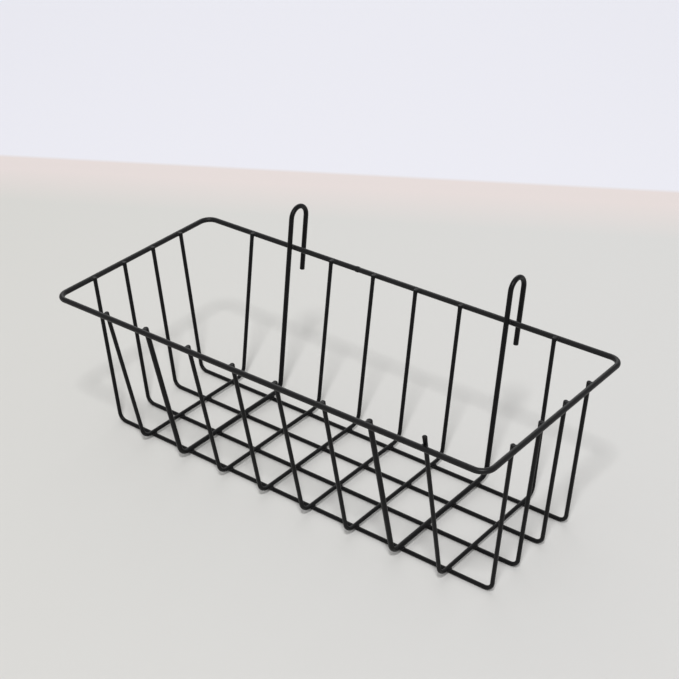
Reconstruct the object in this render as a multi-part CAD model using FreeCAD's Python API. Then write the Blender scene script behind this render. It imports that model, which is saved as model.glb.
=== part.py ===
import FreeCAD, Part
import math
import os

# Welded wire egg basket that hangs by two hooks or stands on its floor wires.
# Millimetres.  +X runs along the basket, +Y towards the wall it hangs on, +Z up.
# The origin lies under the middle of the whole basket, hooks included, at floor level.

# ---- driving dimensions ---------------------------------------------------------------

# Coated wire diameters
rim_wire_diameter = 3.2
hook_wire_diameter = 3.0
thin_wire_diameter = 2.4

# Rim: a closed rectangular loop at the top of the basket
overall_length = 300.0
rim_depth = 131.2
rim_height = 97.0               # floor to the top of the rim
rim_corner_radius = 7.0         # on the wire's centre line, as are all bend radii

# Walls: how much further out the rim is than the floor corners, centre line to centre line
end_flare = 12.1
side_flare = 19.4
floor_shift_x = -0.9            # the long wires' floor sits a little to the left in the rim

# Spacing of the wires
cross_wire_count = 8
long_wire_count = 4
end_margin = 39.9               # rim's end wire to the first cross wire
side_margin = 27.7              # rim's side wire to the first long wire
cross_bend_radius = 6.5
long_bend_radius = 5.0

# Hooks: two of the cross wires are thicker and run on into hooks behind the rim
hook_positions = (2, 7)
hook_clear_gap = 10.6           # between the hook's shank and its tongue
hook_rise = 24.0                # top of the rim to the top of the hook
hook_tongue_drop = 20.0         # top of the rim down to the tongue's cut end

# Welds
weld_set_down = 0.2             # how far two wires sink into each other under the electrode
floor_weld_spread = 0.5         # a bead's radius past the mean radius of the wires it joins
rim_weld_spread = 0.7
tip_rise = -0.2                 # cut ends of the upright wires, from the rim's top
butt_weld_position = -28.5      # where the rim's two ends meet, along its back side
butt_weld_gap = 0.6
butt_weld_bulge = 0.35          # how far that weld stands out from the rim

# How far single tips stray along the rim, and one front tip that was cut long
front_lean = {1: -1.0, 2: -1.5, 4: 1.0, 6: 1.0, 7: -0.5, 8: 3.0}
back_lean = {1: -0.5, 2: -1.0, 4: 0.5, 8: -0.5}
right_end_lean = {1: -1.0, 3: -1.0, 4: -2.5}
long_tips = {8: 4.6}

# ---- sizes that follow ----------------------------------------------------------------

rim_half_length = (overall_length - rim_wire_diameter) / 2
rim_half_depth = (rim_depth - rim_wire_diameter) / 2
rim_level = rim_height - rim_wire_diameter / 2
long_floor_level = thin_wire_diameter / 2
tongue_end_level = rim_height - hook_tongue_drop
floor_half_length = rim_half_length - end_flare
floor_half_depth = rim_half_depth - side_flare
cross_pitch = 2 * (rim_half_length - end_margin) / (cross_wire_count - 1)
long_pitch = 2 * (rim_half_depth - side_margin) / (long_wire_count - 1)
floor_weld_radius = thin_wire_diameter / 2 + floor_weld_spread
rim_weld_radius = (thin_wire_diameter + rim_wire_diameter) / 4 + rim_weld_spread
butt_weld_radius = rim_wire_diameter / 2 + butt_weld_bulge


def vec(x, y, z):
    return FreeCAD.Vector(x, y, z)


# ---- bent wire ------------------------------------------------------------------------

def tangent_arc(before, corner, after, radius):
    """The arc of this radius that rounds the corner, with its two tangent points."""
    back = (before - corner).normalize()
    ahead = (after - corner).normalize()
    half_angle = back.getAngle(ahead) / 2
    reach = radius / math.tan(half_angle)
    start = corner + back * reach
    end = corner + ahead * reach
    bisector = (back + ahead).normalize()
    middle = corner + bisector * (radius / math.sin(half_angle) - radius)
    return start, Part.Arc(start, middle, end).toShape(), end


def rounded_edges(points, radii):
    """Straight runs through the points, joined by tangent arcs of the given radii."""
    edges = []
    run_start = points[0]
    for before, corner, after, radius in zip(points, points[1:], points[2:], radii):
        start, arc, end = tangent_arc(before, corner, after, radius)
        edges.append(Part.LineSegment(run_start, start).toShape())
        edges.append(arc)
        run_start = end
    edges.append(Part.LineSegment(run_start, points[-1]).toShape())
    return edges


def wire_solid(edges, diameter):
    """A round wire along connected tangent edges, with plain cut ends."""
    path = Part.Wire(edges)
    first = edges[0]
    start = first.valueAt(first.FirstParameter)
    direction = first.tangentAt(first.FirstParameter)
    section = Part.Wire([Part.makeCircle(diameter / 2, start, direction)])
    solid = path.makePipeShell([section], True, True)
    expected = math.pi * (diameter / 2) ** 2 * path.Length
    assert abs(solid.Volume - expected) < 0.01 * expected, "a bend folded the wire"
    return solid


# ---- where the wires run --------------------------------------------------------------

def centre_distance(diameter, other_diameter):
    """Distance between the centre lines of two wires that are welded across each other."""
    return (diameter + other_diameter) / 2 - weld_set_down


def wall_slope(flare, floor_level, diameter):
    """Outward run per unit of height of a wire that touches the inside of the rim."""
    height = rim_level - floor_level
    reach = math.hypot(flare, height)
    contact = centre_distance(diameter, rim_wire_diameter)
    return math.tan(math.atan2(flare, height) - math.asin(contact / reach))


def cross_diameter(number):
    return hook_wire_diameter if number in hook_positions else thin_wire_diameter


def cross_x(number):
    return (number - (cross_wire_count + 1) / 2) * cross_pitch


def long_y(number):
    return (number - (long_wire_count + 1) / 2) * long_pitch


def cross_floor_level(number):
    return long_floor_level + centre_distance(cross_diameter(number), thin_wire_diameter)


def cross_upright(number, side, lean):
    """Floor corner and rim-level point of a cross wire; side is -1 in front, +1 behind."""
    level = cross_floor_level(number)
    slope = wall_slope(side_flare, level, cross_diameter(number))
    corner = vec(cross_x(number), side * floor_half_depth, level)
    height = rim_level - level
    return corner, corner + vec(lean.get(number, 0), side * slope * height, height)


def long_upright(number, side, lean):
    """Floor corner and rim-level point of a long wire; side is -1 left, +1 right."""
    flare = end_flare - side * floor_shift_x
    slope = wall_slope(flare, long_floor_level, thin_wire_diameter)
    corner_x = side * floor_half_length + floor_shift_x
    corner = vec(corner_x, long_y(number), long_floor_level)
    height = rim_level - long_floor_level
    return corner, corner + vec(side * slope * height, lean.get(number, 0), height)


def tip_of(corner, rim_point, rise):
    """The cut end of an upright, carried on past the rim's level."""
    direction = rim_point - corner
    return corner + direction * ((rim_height + rise - corner.z) / direction.z)


# ---- the pieces -----------------------------------------------------------------------

def rim_corners():
    return [
        vec(-rim_half_length, rim_half_depth, rim_level),
        vec(-rim_half_length, -rim_half_depth, rim_level),
        vec(rim_half_length, -rim_half_depth, rim_level),
        vec(rim_half_length, rim_half_depth, rim_level),
    ]


def make_rim():
    """One bent wire whose two ends stand a weld's gap apart on the back side."""
    half_gap = vec(butt_weld_gap / 2, 0, 0)
    meeting = vec(butt_weld_position, rim_half_depth, rim_level)
    points = [meeting - half_gap] + rim_corners() + [meeting + half_gap]
    return wire_solid(rounded_edges(points, [rim_corner_radius] * 4), rim_wire_diameter)


def make_long_wire(number):
    left_corner, left_top = long_upright(number, -1, {})
    right_corner, right_top = long_upright(number, 1, right_end_lean)
    points = [
        tip_of(left_corner, left_top, tip_rise),
        left_corner,
        right_corner,
        tip_of(right_corner, right_top, tip_rise),
    ]
    return wire_solid(rounded_edges(points, [long_bend_radius] * 2), thin_wire_diameter)


def front_and_floor(number):
    """Front tip, front floor corner and back floor corner of a cross wire."""
    corner, top = cross_upright(number, -1, front_lean)
    tip = tip_of(corner, top, long_tips.get(number, tip_rise))
    return tip, corner, cross_upright(number, 1, back_lean)[0]


def make_cross_wire(number):
    back_corner, back_top = cross_upright(number, 1, back_lean)
    points = list(front_and_floor(number))
    points.append(tip_of(back_corner, back_top, tip_rise))
    return wire_solid(rounded_edges(points, [cross_bend_radius] * 2), thin_wire_diameter)


def hook_frame(number):
    """Start of the hook's loop, its centre, and the directions along and across the shank."""
    corner, top = cross_upright(number, 1, back_lean)
    along = (top - corner).normalize()
    across = vec(0, along.z, -along.y).normalize()
    radius = (hook_clear_gap + hook_wire_diameter) / 2
    loop_top = rim_height + hook_rise - hook_wire_diameter / 2
    spring_level = loop_top - radius - across.z * radius
    spring = corner + along * ((spring_level - corner.z) / along.z)
    return spring, spring + across * radius, along, across, radius


def make_hook_wire(number):
    spring, centre, along, across, radius = hook_frame(number)
    edges = rounded_edges(list(front_and_floor(number)) + [spring], [cross_bend_radius] * 2)
    tongue_top = centre + across * radius
    edges.append(Part.Arc(spring, centre + along * radius, tongue_top).toShape())
    tongue_end = tongue_top - along * ((tongue_top.z - tongue_end_level) / along.z)
    edges.append(Part.LineSegment(tongue_top, tongue_end).toShape())
    return wire_solid(edges, hook_wire_diameter)


def weld_bead(point, pole, radius, wires):
    """A bead that fills the crevice round a joint and stops at the wires it joins.

    The ball's poles lie inside the wires and its seam runs between them, which leaves one
    clean band of it.
    """
    bead = Part.makeSphere(radius, point, pole)
    bead.rotate(point, pole, 45)
    for wire in wires:
        bead = bead.cut(wire)
    assert bead.isValid() and len(bead.Solids) == 1, "a weld bead came out broken"
    return bead


def contact(point, direction, diameter, other_point, other_direction):
    """Middle of the touching patch of two straight wires that cross, and its normal."""
    normal = direction.cross(other_direction).normalize()
    apart = other_point - point
    along = apart.cross(other_direction).dot(direction.cross(other_direction))
    along /= direction.cross(other_direction).Length ** 2
    towards = normal if apart.dot(normal) > 0 else normal.negative()
    return point + direction * along + towards * (diameter - weld_set_down) / 2, towards


def floor_contact(cross_number, long_number):
    long_point = vec(0, long_y(long_number), long_floor_level)
    cross_point = vec(cross_x(cross_number), 0, cross_floor_level(cross_number))
    return contact(long_point, vec(1, 0, 0), thin_wire_diameter, cross_point, vec(0, 1, 0))


def rim_contact(rim_point, rim_direction, upright):
    corner, top = upright
    return contact(rim_point, rim_direction, rim_wire_diameter,
                   corner, (top - corner).normalize())


def build():
    """Every node's solids, before the move to the origin."""
    rim = make_rim()
    round_longs = {n: make_long_wire(n) for n in range(1, long_wire_count + 1)}
    round_crosses = {}
    for n in range(1, cross_wire_count + 1):
        hooked = n in hook_positions
        round_crosses[n] = make_hook_wire(n) if hooked else make_cross_wire(n)

    # Where two wires were pressed together the upper or inner one takes the dent.
    longs = {n: wire.cut(rim) for n, wire in round_longs.items()}
    under = [rim] + list(longs.values())
    crosses = {n: wire.cut(under) for n, wire in round_crosses.items()}

    nodes = {"rim_wire": [rim]}
    for n, wire in longs.items():
        nodes["long_wire_%d" % n] = [wire]
    hook_names = dict(zip(hook_positions, ("hook_wire_left", "hook_wire_right")))
    plain = 0
    for n, wire in crosses.items():
        if n in hook_names:
            nodes[hook_names[n]] = [wire]
        else:
            plain += 1
            nodes["cross_wire_%d" % plain] = [wire]

    for m, long_wire in round_longs.items():
        nodes["welds_floor_row_%d" % m] = [
            weld_bead(*floor_contact(n, m), floor_weld_radius, [long_wire, cross_wire])
            for n, cross_wire in round_crosses.items()]
    for name, side, lean in (("front", -1, front_lean), ("back", 1, back_lean)):
        rim_point = vec(0, side * rim_half_depth, rim_level)
        nodes["welds_rim_" + name] = [
            weld_bead(*rim_contact(rim_point, vec(1, 0, 0), cross_upright(n, side, lean)),
                      rim_weld_radius, [rim, wire])
            for n, wire in round_crosses.items()]
    for name, side, lean in (("left", -1, {}), ("right", 1, right_end_lean)):
        rim_point = vec(side * rim_half_length, 0, rim_level)
        nodes["welds_rim_" + name] = [
            weld_bead(*rim_contact(rim_point, vec(0, 1, 0), long_upright(m, side, lean)),
                      rim_weld_radius, [rim, wire])
            for m, wire in round_longs.items()]
    meeting = vec(butt_weld_position, rim_half_depth, rim_level)
    nodes["rim_butt_weld"] = [weld_bead(meeting, vec(1, 0, 0), butt_weld_radius, [rim])]
    return nodes


def main():
    os.makedirs("parts", exist_ok=True)
    hook_centre, radius = hook_frame(hook_positions[0])[1], hook_frame(hook_positions[0])[4]
    back_edge = hook_centre.y + radius + hook_wire_diameter / 2
    to_origin = vec(0, (rim_depth / 2 - back_edge) / 2, 0)
    for name, solids in build().items():
        shape = Part.makeCompound(solids) if len(solids) > 1 else solids[0]
        shape.translate(to_origin)
        shape.exportStep("parts/%s.step" % name)
        print(name, len(shape.Solids), "solids", round(shape.Volume, 2), "mm3")


main()
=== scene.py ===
import math

import bpy
from mathutils import Matrix, Vector
from mathutils.geometry import intersect_line_line


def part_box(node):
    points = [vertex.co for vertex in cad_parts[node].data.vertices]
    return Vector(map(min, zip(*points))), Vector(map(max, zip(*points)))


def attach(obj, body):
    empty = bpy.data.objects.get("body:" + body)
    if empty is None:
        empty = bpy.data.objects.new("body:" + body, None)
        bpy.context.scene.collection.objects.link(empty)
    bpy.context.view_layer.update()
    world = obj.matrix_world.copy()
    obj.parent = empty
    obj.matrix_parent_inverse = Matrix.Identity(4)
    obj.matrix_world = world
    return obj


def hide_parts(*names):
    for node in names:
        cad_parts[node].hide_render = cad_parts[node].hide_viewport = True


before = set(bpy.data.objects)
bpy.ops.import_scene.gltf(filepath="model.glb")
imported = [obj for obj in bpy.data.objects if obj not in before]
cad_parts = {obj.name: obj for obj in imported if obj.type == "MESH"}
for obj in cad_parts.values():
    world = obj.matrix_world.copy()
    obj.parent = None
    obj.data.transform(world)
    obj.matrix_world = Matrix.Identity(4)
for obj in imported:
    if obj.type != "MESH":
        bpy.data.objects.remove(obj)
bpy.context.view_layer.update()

# Black coated wire basket with two rear hooks.  Metres.  Every wire's run is read from the
# frame, and the wires, their rounded cut ends and their welds are then modelled along it.

MM = 0.001

# ---- sizes that the frame doesn't hold ---------------------------------------------------

RIM_BEND = 7.0 * MM               # bend radii, on the wire's centre line
CROSS_BEND = 6.5 * MM
LONG_BEND = 5.0 * MM
RIM_BUTT_GAP = 0.6 * MM           # between the rim's two ends, under the seam weld
PRESSED_IN = 0.2 * MM             # how far two wires sink into each other at a weld
END_ROUNDING = 0.24               # share of the wire's radius that its cut end is rounded by
END_ROUNDING_STEPS = 4
RING_FLATNESS = 0.05              # a wire's first ring is found this close to its plane and
RING_REACH = 1.3                  # this near to its centre, as shares of the wire's radius
TIP_SPREAD = 1.18                 # how much wider a cut end is, along the rim it is pressed on
TIP_SPREAD_LENGTH = 3.6 * MM      # the length over which the wire widens to its cut end
WIRE_SIDES = 24
BEND_STEP = math.radians(9)
SAME_POINT = 0.002 * MM           # points of a wire this close together are merged
SHARP_EDGE = math.radians(50)     # edges that turn less than this are shaded smooth

LOW_LEVEL = 30 * MM               # heights at which the upright wires are looked for
HIGH_LEVEL = 70 * MM
TONGUE_LEVELS = (84 * MM, 104 * MM)
FLOOR_LEVELS = (-20 * MM, 20 * MM)     # places along X or Y at which a floor wire is looked for
TIP_SEARCH = 8 * MM               # the tip of an upright lies this near to the rim's level

X, Y, Z = 0, 1, 2


# ---- reading the wires' runs from the frame ----------------------------------------------

def crossings(node, axis, level):
    """Points where the edges of a CAD node cross the plane axis = level."""
    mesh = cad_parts[node].data
    points = []
    for edge in mesh.edges:
        a, b = (mesh.vertices[i].co for i in edge.vertices)
        if (a[axis] - level) * (b[axis] - level) < 0:
            points.append(a.lerp(b, (level - a[axis]) / (b[axis] - a[axis])))
    return points


def middle(points):
    """Middle of the box round some points."""
    low = Vector([min(p[i] for p in points) for i in range(3)])
    high = Vector([max(p[i] for p in points) for i in range(3)])
    return (low + high) / 2


def section(node, axis, level, keep=lambda p: True):
    """Centre of the wire where it passes the plane axis = level."""
    return middle([p for p in crossings(node, axis, level) if keep(p)])


class Line:
    """A straight run, known by two points on its centre line."""

    def __init__(self, start, end):
        self.start = start
        self.along = (end - start).normalized()

    def at(self, axis, level):
        return self.start + self.along * ((level - self.start[axis]) / self.along[axis])

    def cut_end(self, lowest_or_highest, radius):
        """Centre of a square-cut end whose outermost point has this height."""
        tilt = radius * math.hypot(self.along.x, self.along.y)
        outward = 1 if lowest_or_highest > self.start.z else -1
        return self.at(Z, lowest_or_highest - outward * tilt)


def upright(node, axis, side):
    """The run of a wire's wall part on one side of the basket."""
    middle_of_basket = sum(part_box("rim_wire"), Vector())[axis] / 2

    def on_side(p):
        return (p[axis] - middle_of_basket) * side > 0 and p[Y] < rim_high.y
    return Line(section(node, Z, LOW_LEVEL, on_side), section(node, Z, HIGH_LEVEL, on_side))


def top_of(node, axis, side):
    """Height of the tip of an upright."""
    near = upright(node, axis, side).at(Z, rim_level)
    return max(v.co.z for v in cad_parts[node].data.vertices
               if (v.co - near).length < TIP_SEARCH)


def half_height(node, axis):
    """Radius of a floor wire, from its height where it passes the middle of the basket."""
    heights = [p.z for p in crossings(node, axis, 0) if p.z < LOW_LEVEL]
    return (max(heights) - min(heights)) / 2


rim_low, rim_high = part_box("rim_wire")
RIM_RADIUS = (rim_high.z - rim_low.z) / 2
rim_level = (rim_high.z + rim_low.z) / 2
THIN_RADIUS = half_height("long_wire_2", X)
HOOK_RADIUS = half_height("hook_wire_left", Y)

LONG_NODES = ["long_wire_%d" % n for n in (1, 2, 3, 4)]
HOOK_NODES = ["hook_wire_left", "hook_wire_right"]
CROSS_NODES = ["cross_wire_%d" % n for n in (1, 2, 3, 4, 5, 6)]
ACROSS = sorted(CROSS_NODES + HOOK_NODES, key=lambda n: section(n, Z, LOW_LEVEL).x)


def radius_of(node):
    return HOOK_RADIUS if node in HOOK_NODES else THIN_RADIUS


# ---- modelling helpers -------------------------------------------------------------------

def choose(piece):
    """Only this piece is selected and active."""
    bpy.ops.object.select_all(action="DESELECT")
    piece.select_set(True)
    bpy.context.view_layer.objects.active = piece


def settle(piece):
    """The piece's place goes into its mesh, and its object goes to the origin."""
    choose(piece)
    bpy.ops.object.transform_apply(location=True, rotation=True, scale=True)


def facing(direction):
    """The turn that points a piece's or a lamp's own Z along a direction."""
    return direction.to_track_quat("Z", "Y").to_euler()


def bend(before, corner, after, radius):
    """Start, centre, axis, turn and end of the arc that rounds a corner."""
    back = (before - corner).normalized()
    ahead = (after - corner).normalized()
    half_angle = back.angle(ahead) / 2
    reach = radius / math.tan(half_angle)
    centre = corner + (back + ahead).normalized() * (radius / math.sin(half_angle))
    axis = ahead.cross(back).normalized()
    turn = math.pi - 2 * half_angle
    return corner + back * reach, centre, axis, turn, corner + ahead * reach


class WireBender:
    """Feeds a ring of points along a run and spins it round each bend, as a bender does."""

    def __init__(self, name, start, towards, radius):
        self.here = start
        self.radius = radius
        self.start = start
        self.first_direction = (towards - start).normalized()
        bpy.ops.object.select_all(action="DESELECT")
        bpy.ops.mesh.primitive_circle_add(
            vertices=WIRE_SIDES, radius=radius, fill_type="NOTHING",
            location=start, rotation=facing(self.first_direction))
        self.piece = bpy.context.object
        self.piece.name = name
        settle(self.piece)
        bpy.ops.object.mode_set(mode="EDIT")
        bpy.ops.mesh.select_all(action="SELECT")

    def feed_to(self, point):
        """The wire is drawn straight on to a point."""
        bpy.ops.mesh.extrude_region_move(TRANSFORM_OT_translate={"value": point - self.here})
        self.here = point

    def widen(self, spread):
        """The selected ring is spread by a factor along each axis."""
        bpy.ops.transform.resize(value=spread, center_override=self.here)

    def spin_round(self, centre, axis, turn, end):
        steps = max(3, round(turn / BEND_STEP))
        bpy.ops.mesh.spin(steps=steps, angle=-turn, center=centre, axis=axis)
        self.here = end

    def round_cut_end(self):
        """The selected open ring is closed with a flat face, and its edge is rounded."""
        bpy.ops.mesh.edge_face_add()
        bpy.ops.mesh.bevel(
            offset=END_ROUNDING * self.radius, segments=END_ROUNDING_STEPS, affect="EDGES")

    def pick_first_ring(self):
        """Selects the ring that the wire was started with, by its place."""
        bpy.ops.mesh.select_all(action="DESELECT")
        bpy.ops.object.mode_set(mode="OBJECT")
        for vertex in self.piece.data.vertices:
            from_start = vertex.co - self.start
            off_plane = abs(from_start.dot(self.first_direction))
            vertex.select = (off_plane < RING_FLATNESS * self.radius
                             and from_start.length < RING_REACH * self.radius)
        bpy.ops.object.mode_set(mode="EDIT")
        bpy.ops.mesh.select_mode(type="VERT")

    def finish(self):
        """Both cut ends are closed and rounded, and the wire is cleaned up and smoothed."""
        self.round_cut_end()
        self.pick_first_ring()
        self.round_cut_end()
        bpy.ops.mesh.select_all(action="SELECT")
        bpy.ops.mesh.remove_doubles(threshold=SAME_POINT)
        bpy.ops.mesh.normals_make_consistent(inside=False)
        bpy.ops.object.mode_set(mode="OBJECT")
        choose(self.piece)
        bpy.ops.object.shade_smooth_by_angle(angle=SHARP_EDGE)
        return self.piece


def bent_wire(name, points, bend_radii, radius, start_spread=None, end_spread=None):
    """A bender that has fed a wire through the points, round a bend at each one between the ends.

    A spread tip is one that the welding electrode has pressed wider than the wire.
    """
    bender = WireBender(name, points[0], points[1], radius)
    if start_spread:
        bender.widen(start_spread)
        bender.feed_to(points[0] + bender.first_direction * TIP_SPREAD_LENGTH)
        bender.widen([1 / factor for factor in start_spread])
    for before, corner, after, bend_radius in zip(points, points[1:], points[2:], bend_radii):
        start, centre, axis, turn, end = bend(before, corner, after, bend_radius)
        bender.feed_to(start)
        bender.spin_round(centre, axis, turn, end)
    if end_spread:
        last_direction = (points[-1] - points[-2]).normalized()
        bender.feed_to(points[-1] - last_direction * TIP_SPREAD_LENGTH)
    bender.feed_to(points[-1])
    if end_spread:
        bender.widen(end_spread)
    return bender


# ---- the wires ---------------------------------------------------------------------------

SPREAD_ALONG_X = (TIP_SPREAD, 1, 1)
SPREAD_ALONG_Y = (1, TIP_SPREAD, 1)


def make_rim():
    """One closed loop, whose two ends meet at the butt weld on the back side."""
    left, right = rim_low.x + RIM_RADIUS, rim_high.x - RIM_RADIUS
    front, back = rim_low.y + RIM_RADIUS, rim_high.y - RIM_RADIUS
    weld_low, weld_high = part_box("rim_butt_weld")
    meeting = (weld_low.x + weld_high.x) / 2
    points = [
        Vector((meeting - RIM_BUTT_GAP / 2, back, rim_level)),
        Vector((left, back, rim_level)),
        Vector((left, front, rim_level)),
        Vector((right, front, rim_level)),
        Vector((right, back, rim_level)),
        Vector((meeting + RIM_BUTT_GAP / 2, back, rim_level)),
    ]
    return bent_wire("rim_bent_wire", points, [RIM_BEND] * 4, RIM_RADIUS).finish()


def make_u_wire(node, axis, bend_radius, tip_spread):
    """A thin wire that runs along the axis under the basket and up both of its sides."""
    floor_height = section(node, axis, 0).z
    first, last = upright(node, axis, -1), upright(node, axis, 1)
    points = [
        first.cut_end(top_of(node, axis, -1), THIN_RADIUS),
        first.at(Z, floor_height),
        last.at(Z, floor_height),
        last.cut_end(top_of(node, axis, 1), THIN_RADIUS),
    ]
    return bent_wire(node + "_bent", points, [bend_radius] * 2, THIN_RADIUS,
                     tip_spread, tip_spread).finish()


def tongue_of(node):
    """The hook's free end, which comes down behind the rim."""
    def behind_rim(p):
        return p.y > rim_high.y + HOOK_RADIUS
    low, high = (section(node, Z, level, behind_rim) for level in TONGUE_LEVELS)
    return Line(low, high)


def make_hook_wire(node):
    """A thicker cross wire that runs on at the back into a loop and a straight tongue."""
    floor_height = section(node, Y, 0).z
    front, shank, tongue = upright(node, Y, -1), upright(node, Y, 1), tongue_of(node)
    to_tongue = tongue.start - shank.start
    across = to_tongue - shank.along * to_tongue.dot(shank.along)
    loop_radius = across.length / 2
    across.normalize()
    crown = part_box(node)[1].z - HOOK_RADIUS
    between = tongue.start - across * loop_radius
    loop_centre = Line(between, between + tongue.along).at(Z, crown - loop_radius)
    loop_start = loop_centre - across * loop_radius
    loop_end = loop_centre + across * loop_radius
    tongue_tip = min(v.co.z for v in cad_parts[node].data.vertices
                     if v.co.y > rim_high.y)

    points = [
        front.cut_end(top_of(node, Y, -1), HOOK_RADIUS),
        front.at(Z, floor_height),
        shank.at(Z, floor_height),
        loop_start,
    ]
    bender = bent_wire(node + "_bent", points, [CROSS_BEND] * 2, HOOK_RADIUS, SPREAD_ALONG_X)
    bender.spin_round(loop_centre, shank.along.cross(across), math.pi, loop_end)
    bender.feed_to(tongue.cut_end(tongue_tip, HOOK_RADIUS))
    return bender.finish()


# ---- the welds ---------------------------------------------------------------------------

FILLET_REACH = 2.7 * MM           # half length of the short wires that a fillet is grown on
TIP_REACH = 0.9 * MM              # the same, towards a cut end
FILLET_UNDER = 0.985              # their radius, as a share of the wire's, so they stay inside
FILLET_VOXEL = 0.17 * MM          # the grain of the mesh that a fillet is grown in
FILLET_SMOOTHING = 10             # how many times it is then softened
FLOOR_BEAD = (1.76 * MM, 1.76 * MM, 1.40 * MM)     # half sizes: along the lower wire or the
RIM_BEAD = (2.00 * MM, 1.25 * MM, 1.50 * MM)       # rim, along the other wire, and between them
RIM_BEAD_AHEAD = 0.05 * MM        # how far that bead's middle is moved towards the cut end
SEAM_LENGTH = 8.0 * MM            # the rim's seam weld: the stretch of rim that it is grown on
SEAM_UNDER = 0.97                 # its radius, as a share of the rim's
SEAM_BULGE = 0.965                # the swelling's radius, as a share of its size in the frame
SEAM_STRETCH = 1.6                # how much longer than wide the swelling is


def joined(parts, name, main):
    """One piece of many; main is the one that the others are joined to."""
    choose(main)
    for part in parts:
        part.select_set(True)
    bpy.ops.object.join()
    main.name = name
    return main


def grown_together(parts, name):
    """One piece of overlapping parts, with soft fillets where they meet."""
    piece = joined(parts, name, parts[-1])
    settle(piece)
    remesh = piece.modifiers.new("grow_together", "REMESH")
    remesh.mode = "VOXEL"
    remesh.voxel_size = FILLET_VOXEL
    smooth = piece.modifiers.new("soften", "SMOOTH")
    smooth.factor = 0.5
    smooth.iterations = FILLET_SMOOTHING
    for modifier in ("grow_together", "soften"):
        bpy.ops.object.modifier_apply(modifier=modifier)
    bpy.ops.object.shade_smooth()
    return piece


def make_fillet(name, under_radius, over_radius, bead_half_size, ahead, bead_ahead=0):
    """The soft web round two crossed wires: one along X under the origin, one along Y over it."""
    middle_of_over = (ahead - FILLET_REACH) / 2
    stubs = (
        (under_radius, 2 * FILLET_REACH, (0, 0, PRESSED_IN / 2 - under_radius), (0, math.pi / 2, 0)),
        (over_radius, FILLET_REACH + ahead, (0, middle_of_over, over_radius - PRESSED_IN / 2),
         (math.pi / 2, 0, 0)),
    )
    parts = []
    for radius, length, place, turn in stubs:
        bpy.ops.object.select_all(action="DESELECT")
        bpy.ops.mesh.primitive_cylinder_add(
            vertices=WIRE_SIDES, radius=FILLET_UNDER * radius, depth=length,
            location=place, rotation=turn)
        parts.append(bpy.context.object)
    bpy.ops.object.select_all(action="DESELECT")
    bpy.ops.mesh.primitive_uv_sphere_add(
        segments=24, ring_count=12, radius=1.0,
        location=(0, bead_ahead, 0), scale=bead_half_size)
    parts.append(bpy.context.object)
    return grown_together(parts, name)


def placed_copy(master, at, along_under, normal):
    """A copy of a fillet, turned to the wires that cross here."""
    copy = master.copy()
    copy.data = master.data.copy()
    bpy.context.scene.collection.objects.link(copy)
    side = normal.cross(along_under)
    turn = Matrix((along_under, side, normal)).transposed().to_4x4()
    copy.data.transform(Matrix.Translation(at) @ turn)
    return copy


def meeting_of(under, under_radius, over):
    """Where two crossing wires are welded, and the direction from the first to the second."""
    on_under, on_over = intersect_line_line(
        under.start, under.start + under.along, over.start, over.start + over.along)
    normal = (on_over - on_under).normalized()
    return on_under + normal * (under_radius - PRESSED_IN / 2), normal


def weld_row(name, master_for, pairs):
    """One piece with a fillet at each pair of crossing wires."""
    copies = []
    for under, under_radius, over, over_node in pairs:
        at, normal = meeting_of(under, under_radius, over)
        along = (under.along - normal * under.along.dot(normal)).normalized()
        if normal.cross(along).dot(over.along) < 0:
            along.negate()
        copies.append(placed_copy(master_for(over_node), at, along, normal))
    return joined(copies, name, copies[0])


def floor_run(node, axis):
    """The straight run of a wire in the basket's floor."""
    start, end = (section(node, axis, level, lambda p: p.z < LOW_LEVEL) for level in FLOOR_LEVELS)
    return Line(start, end)


def rim_side(axis, side):
    """The straight run of the rim on one side; axis is the way it runs."""
    inset = Vector((RIM_RADIUS, RIM_RADIUS, RIM_RADIUS))
    corner = rim_high - inset if side > 0 else rim_low + inset
    corner.z = rim_level
    further = corner.copy()
    further[axis] += 1 * MM
    return Line(corner, further)


def make_welds():
    """The floor's four rows of welds and the rim's four sides, by the node each stands for."""
    fillets = {}
    for over in (THIN_RADIUS, HOOK_RADIUS):
        fillets["floor", over] = make_fillet(
            "floor_fillet", THIN_RADIUS, over, FLOOR_BEAD, FILLET_REACH)
    for over in (THIN_RADIUS, HOOK_RADIUS):
        fillets["rim", over] = make_fillet(
            "rim_fillet", RIM_RADIUS, over, RIM_BEAD, TIP_REACH, RIM_BEAD_AHEAD)

    def on_floor(node):
        return fillets["floor", radius_of(node)]

    def on_rim(node):
        return fillets["rim", radius_of(node)]

    welds = {}
    cross_floor = {node: floor_run(node, Y) for node in ACROSS}
    for number, node in enumerate(LONG_NODES, 1):
        under = floor_run(node, X)
        pairs = [(under, THIN_RADIUS, cross_floor[over], over) for over in ACROSS]
        welds["welds_floor_row_%d" % number] = weld_row("floor_welds_%d" % number, on_floor, pairs)
    sides = (
        ("front", X, Y, -1, ACROSS),
        ("back", X, Y, 1, ACROSS),
        ("left", Y, X, -1, LONG_NODES),
        ("right", Y, X, 1, LONG_NODES),
    )
    for name, along_rim, across_rim, side, wires in sides:
        pairs = [(rim_side(along_rim, side), RIM_RADIUS, upright(over, across_rim, side), over)
                 for over in wires]
        welds["welds_rim_" + name] = weld_row("rim_welds_" + name, on_rim, pairs)
    for master in fillets.values():
        bpy.data.objects.remove(master)
    return welds


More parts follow.
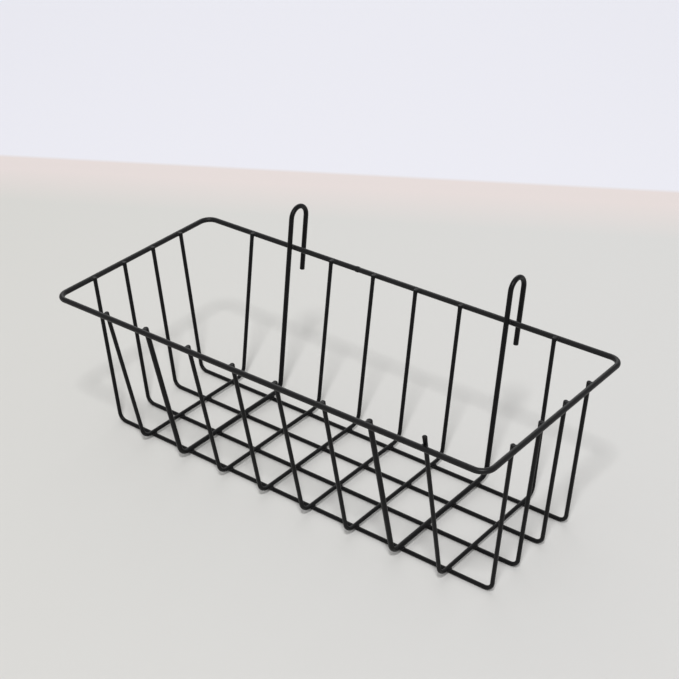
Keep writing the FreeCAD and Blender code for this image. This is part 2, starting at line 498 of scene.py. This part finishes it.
def make_butt_weld():
    """The swollen seam where the rim's ends were pressed together."""
    weld_low, weld_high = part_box("rim_butt_weld")
    at = (weld_low + weld_high) / 2
    bulge = (weld_high.z - weld_low.z) / 2
    bpy.ops.object.select_all(action="DESELECT")
    bpy.ops.mesh.primitive_cylinder_add(
        vertices=32, radius=SEAM_UNDER * RIM_RADIUS, depth=SEAM_LENGTH,
        location=at, rotation=(0, math.pi / 2, 0))
    sleeve = bpy.context.object
    bpy.ops.object.select_all(action="DESELECT")
    bpy.ops.mesh.primitive_uv_sphere_add(
        segments=32, ring_count=16, radius=SEAM_BULGE * bulge,
        location=at, scale=(SEAM_STRETCH, 1, 1))
    return grown_together([sleeve, bpy.context.object], "rim_seam_weld")


# ---- materials ---------------------------------------------------------------------------

class Finish:
    """A node material with the few nodes that a coating needs."""

    def __init__(self, name):
        self.material = bpy.data.materials.new(name)
        self.material.use_nodes = True
        self.nodes = self.material.node_tree.nodes
        self.links = self.material.node_tree.links
        self.shader = self.nodes["Principled BSDF"]
        self.place = self.nodes.new("ShaderNodeTexCoord").outputs["Object"]

    def noise(self, size, detail):
        """Soft random patches of about this size, from 0 to 1."""
        node = self.nodes.new("ShaderNodeTexNoise")
        node.inputs["Scale"].default_value = 1 / size
        node.inputs["Detail"].default_value = detail
        self.links.new(self.place, node.inputs["Vector"])
        return node.outputs["Fac"]

    def ramp(self, value, low, high, to_low, to_high):
        """The value from low to high becomes one from to_low to to_high, and stays within them."""
        node = self.nodes.new("ShaderNodeMapRange")
        node.inputs["From Min"].default_value = low
        node.inputs["From Max"].default_value = high
        node.inputs["To Min"].default_value = to_low
        node.inputs["To Max"].default_value = to_high
        self.links.new(value, node.inputs["Value"])
        return node.outputs["Result"]

    def colours(self, value, low_colour, high_colour):
        node = self.nodes.new("ShaderNodeMix")
        node.data_type = "RGBA"
        node.inputs["A"].default_value = (*low_colour, 1)
        node.inputs["B"].default_value = (*high_colour, 1)
        self.links.new(value, node.inputs["Factor"])
        return node.outputs["Result"]

    def blend(self, value, colour, other_colour):
        """From a colour that nodes make to a plain one."""
        node = self.nodes.new("ShaderNodeMix")
        node.data_type = "RGBA"
        node.inputs["B"].default_value = (*other_colour, 1)
        self.links.new(colour, node.inputs["A"])
        self.links.new(value, node.inputs["Factor"])
        return node.outputs["Result"]

    def along(self, direction):
        """Distance from the origin, measured along a direction."""
        node = self.nodes.new("ShaderNodeVectorMath")
        node.operation = "DOT_PRODUCT"
        node.inputs[1].default_value = direction
        self.links.new(self.place, node.inputs[0])
        return node.outputs["Value"]

    def bump(self, height, distance, after=None):
        """The surface raised by a height from 0 to 1, on top of another bump if one is given."""
        node = self.nodes.new("ShaderNodeBump")
        node.inputs["Strength"].default_value = 1.0
        node.inputs["Distance"].default_value = distance
        self.links.new(height, node.inputs["Height"])
        if after:
            self.links.new(after, node.inputs["Normal"])
        return node.outputs["Normal"]

    def connect(self, value, socket):
        self.links.new(value, self.shader.inputs[socket])


MOTTLE_SIZE = 7.0 * MM            # sizes of the patches on a powder coat: of colour,
GLOSS_SIZE = 2.4 * MM             # of gloss,
WAVE_SIZE = 2.2 * MM              # of the slow wave in its surface
PEEL_SIZE = 0.55 * MM             # and of its orange peel
WAVE_DEPTH = 2.2                  # depth of the wave, as a share of the orange peel's
DARKER = 0.78                     # the mottle's tones, as shares of the coating's colour
LIGHTER = 1.25
SMOOTHER = -0.05                  # how far the gloss patches change the roughness
ROUGHER = 0.06
BLACK = (0.0030, 0.0029, 0.0034)


def powder_coat(name, colour, roughness, shine, grain):
    """Satin powder coat: fine orange peel on a slow wave, faint mottling, uneven gloss."""
    finish = Finish(name)
    mottle = finish.noise(MOTTLE_SIZE, detail=4)
    mottled = finish.colours(finish.ramp(mottle, 0.35, 0.65, 0, 1),
                             [DARKER * c for c in colour], [LIGHTER * c for c in colour])
    finish.connect(mottled, "Base Color")
    gloss = finish.noise(GLOSS_SIZE, detail=3)
    uneven = finish.ramp(gloss, 0.3, 0.7, roughness + SMOOTHER, roughness + ROUGHER)
    finish.connect(uneven, "Roughness")
    peel = finish.bump(finish.noise(PEEL_SIZE, detail=1), grain)
    skin = finish.bump(finish.noise(WAVE_SIZE, detail=2), WAVE_DEPTH * grain, after=peel)
    finish.connect(skin, "Normal")
    finish.shader.inputs["Specular IOR Level"].default_value = shine
    return finish.material


finishes = {
    "rim_coating": powder_coat("rim_coating", BLACK, 0.42, 0.29, 0.012 * MM),
    "wire_coating": powder_coat("wire_coating", BLACK, 0.42, 0.17, 0.010 * MM),
    "hook_coating": powder_coat("hook_coating", BLACK, 0.40, 0.17, 0.012 * MM),
    "weld_coating": powder_coat("weld_coating", BLACK, 0.44, 0.24, 0.016 * MM),
}

PAPER_BACKWARDS = Vector((-0.467, 0.884, 0))     # from the basket towards the paper's back edge
PAPER_SIDEWAYS = Vector((0.884, 0.467, 0))       # along that edge, to the right
PAPER_FRONT = 0.20                # painted light: the paper is painted lighter towards the back, from this far before the middle
PAPER_BACK = 0.40                 # to this far behind it
PAPER_RIGHT = 0.15                # and it gets creamier from this far right of the middle
PAPER_LEFT = 0.35                 # to this far left of it
PAPER_EDGE = 0.405                # distance of the paper's back edge from the middle
EDGE_BLUR = 0.003                 # half width of the line where the paper ends
WARM_BAND = 0.085                 # width of the warmer tone before that edge
WARM_FULL = 0.3                   # share of the band, at the edge, that is warm all through
CREAM_SHARE = 0.5                 # how creamy the paper is at its left
PAPER_PATCHES = 0.25              # size of the faint patches on the paper
PAPER_TONES = ((0.646, 0.639, 0.627), (0.652, 0.647, 0.636))
# painted light: the paper's tone at the back, painted lighter to stand in for light the lamps give
# less of there
BACK_PAINTED_LIGHT_TONE = (0.676, 0.673, 0.660)
CREAM_TONE = (0.644, 0.635, 0.594)
WARM_TONE = (0.764, 0.693, 0.675)
BEYOND_TONE = (0.808, 0.808, 0.870)


def pale_floor():
    """Off-white paper, painted lighter towards the back as painted light, up to a warm glow at its
    back edge, and cool white beyond it.
    """
    finish = Finish("pale_floor")
    patches = finish.noise(PAPER_PATCHES, detail=3)
    paper = finish.colours(finish.ramp(patches, 0.3, 0.7, 0, 1), *PAPER_TONES)
    # painted light: the paper is blended towards a lighter tone further back
    behind = finish.along(PAPER_BACKWARDS)
    depth = finish.ramp(behind, -PAPER_FRONT, PAPER_BACK, 0, 1)
    back_lightened = finish.blend(depth, paper, BACK_PAINTED_LIGHT_TONE)
    leftwards = finish.ramp(finish.along(PAPER_SIDEWAYS), -PAPER_LEFT, PAPER_RIGHT, CREAM_SHARE, 0)
    creamy = finish.blend(leftwards, back_lightened, CREAM_TONE)
    warmth = finish.ramp(behind, PAPER_EDGE - WARM_BAND, PAPER_EDGE - WARM_FULL * WARM_BAND, 0, 1)
    warmed = finish.blend(warmth, creamy, WARM_TONE)
    beyond = finish.ramp(behind, PAPER_EDGE - EDGE_BLUR, PAPER_EDGE + EDGE_BLUR, 0, 1)
    finish.connect(finish.blend(beyond, warmed, BEYOND_TONE), "Base Color")
    finish.shader.inputs["Roughness"].default_value = 0.8
    finish.shader.inputs["Specular IOR Level"].default_value = 0.2
    return finish.material


def hand_over(piece, node, slot):
    """The piece takes its finish, rides with the frame and stands for its CAD node."""
    piece.data.materials.clear()
    piece.data.materials.append(finishes[slot])
    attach(piece, "root")
    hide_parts(node)


# ---- building the basket -----------------------------------------------------------------

hand_over(make_rim(), "rim_wire", "rim_coating")
for wire_node in LONG_NODES:
    hand_over(make_u_wire(wire_node, X, LONG_BEND, SPREAD_ALONG_Y), wire_node, "wire_coating")
for wire_node in CROSS_NODES:
    hand_over(make_u_wire(wire_node, Y, CROSS_BEND, SPREAD_ALONG_X), wire_node, "wire_coating")
for wire_node in HOOK_NODES:
    hand_over(make_hook_wire(wire_node), wire_node, "hook_coating")
for weld_node, weld_piece in make_welds().items():
    hand_over(weld_piece, weld_node, "weld_coating")
hand_over(make_butt_weld(), "rim_butt_weld", "weld_coating")


# ---- floor, light and camera -------------------------------------------------------------

FLOOR_SIZE = 8.0
CENTRE = (0, 0, 0.04)             # what the lamps point at
KEY_PLACE = (0.90, -1.22, 2.60)   # main lamp: high up, to the front right
KEY_SIZE = 0.44
KEY_POWER = 45.3
WALL_PLACE = (-1.15, 1.55, 1.35)  # large dim lamp: light from a wall behind on the left
WALL_SIZE = 2.2
WALL_POWER = 11.7
ROOM_STRENGTH = 0.548
CAMERA_PLACE = Vector((0.4743, -0.5709, 0.5182))
CAMERA_AIM = Vector((-0.0464, 0.0600, 0.0400))
CAMERA_ROLL = math.radians(-1.79)
CAMERA_LENS = 81.78               # in millimetres, for a sensor 36 mm wide
SENSOR_WIDTH = 36


def make_floor():
    bpy.ops.object.select_all(action="DESELECT")
    bpy.ops.mesh.primitive_plane_add(size=FLOOR_SIZE, location=(0, 0, 0))
    floor = bpy.context.object
    floor.name = "studio_floor"
    settle(floor)
    floor.data.materials.append(pale_floor())


def soft_light(name, place, size, power):
    """A round white lamp that points at the basket and isn't seen itself."""
    light = bpy.data.lights.new(name, "AREA")
    light.shape = "DISK"
    light.size = size
    light.energy = power
    lamp = bpy.data.objects.new(name, light)
    lamp.location = place
    lamp.rotation_euler = facing(Vector(place) - Vector(CENTRE))
    lamp.visible_camera = False
    bpy.context.scene.collection.objects.link(lamp)


def room_light(strength):
    """Even white light from all round."""
    world = bpy.data.worlds.new("room")
    world.use_nodes = True
    background = world.node_tree.nodes["Background"]
    background.inputs["Color"].default_value = (1, 1, 1, 1)
    background.inputs["Strength"].default_value = strength
    bpy.context.scene.world = world


def make_camera():
    camera = bpy.data.cameras.new("camera")
    camera.lens = CAMERA_LENS
    camera.sensor_width = SENSOR_WIDTH
    camera.dof.use_dof = False
    camera.clip_start = 0.01
    rig = bpy.data.objects.new("camera", camera)
    level = (CAMERA_AIM - CAMERA_PLACE).to_track_quat("-Z", "Y")
    rolled = level.to_matrix().to_4x4() @ Matrix.Rotation(CAMERA_ROLL, 4, "Z")
    rig.matrix_world = Matrix.Translation(CAMERA_PLACE) @ rolled
    bpy.context.scene.collection.objects.link(rig)
    bpy.context.scene.camera = rig


make_floor()
soft_light("key", KEY_PLACE, KEY_SIZE, KEY_POWER)
soft_light("back_wall", WALL_PLACE, WALL_SIZE, WALL_POWER)
room_light(ROOM_STRENGTH)
make_camera()
bpy.context.scene.view_settings.view_transform = "Standard"
